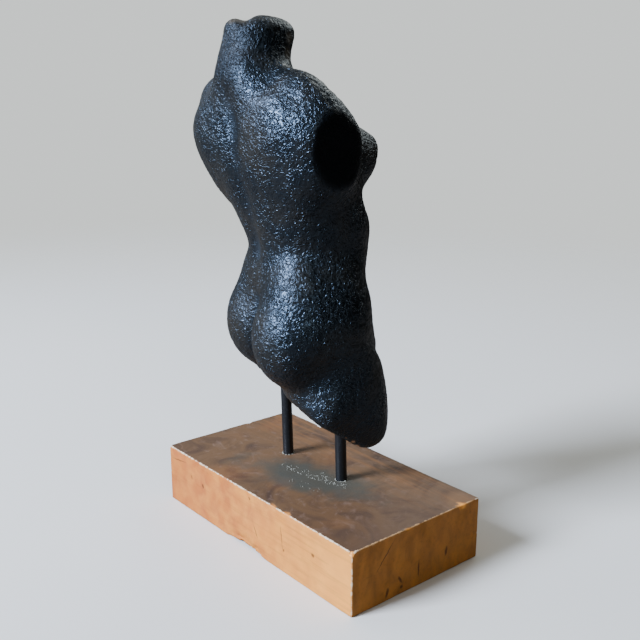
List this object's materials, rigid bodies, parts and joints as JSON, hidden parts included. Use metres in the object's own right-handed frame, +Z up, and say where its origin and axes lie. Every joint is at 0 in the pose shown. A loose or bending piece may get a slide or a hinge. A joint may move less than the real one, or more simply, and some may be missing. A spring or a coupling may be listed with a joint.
{
  "type": "torso sculpture",
  "caption": "Black glazed ceramic female torso, without head, arms or lower legs, standing on two thin metal rods above a rectangular wooden block.",
  "frame": {"origin": "centre of the wooden block's underside", "axes": "+Z up; the figure faces -Y and its left side is +X"},
  "size_m": [0.24, 0.13, 0.4023],
  "materials": {
    "glazed_clay": "wrinkled black glaze, semi-gloss",
    "black_steel": "satin black",
    "block_wood": "waxed, worn"
  },
  "bodies": {
    "root": {"torso": "glazed_clay", "rod_left": "black_steel", "rod_right": "black_steel", "base_block": "block_wood"}
  },
  "joints": []
}
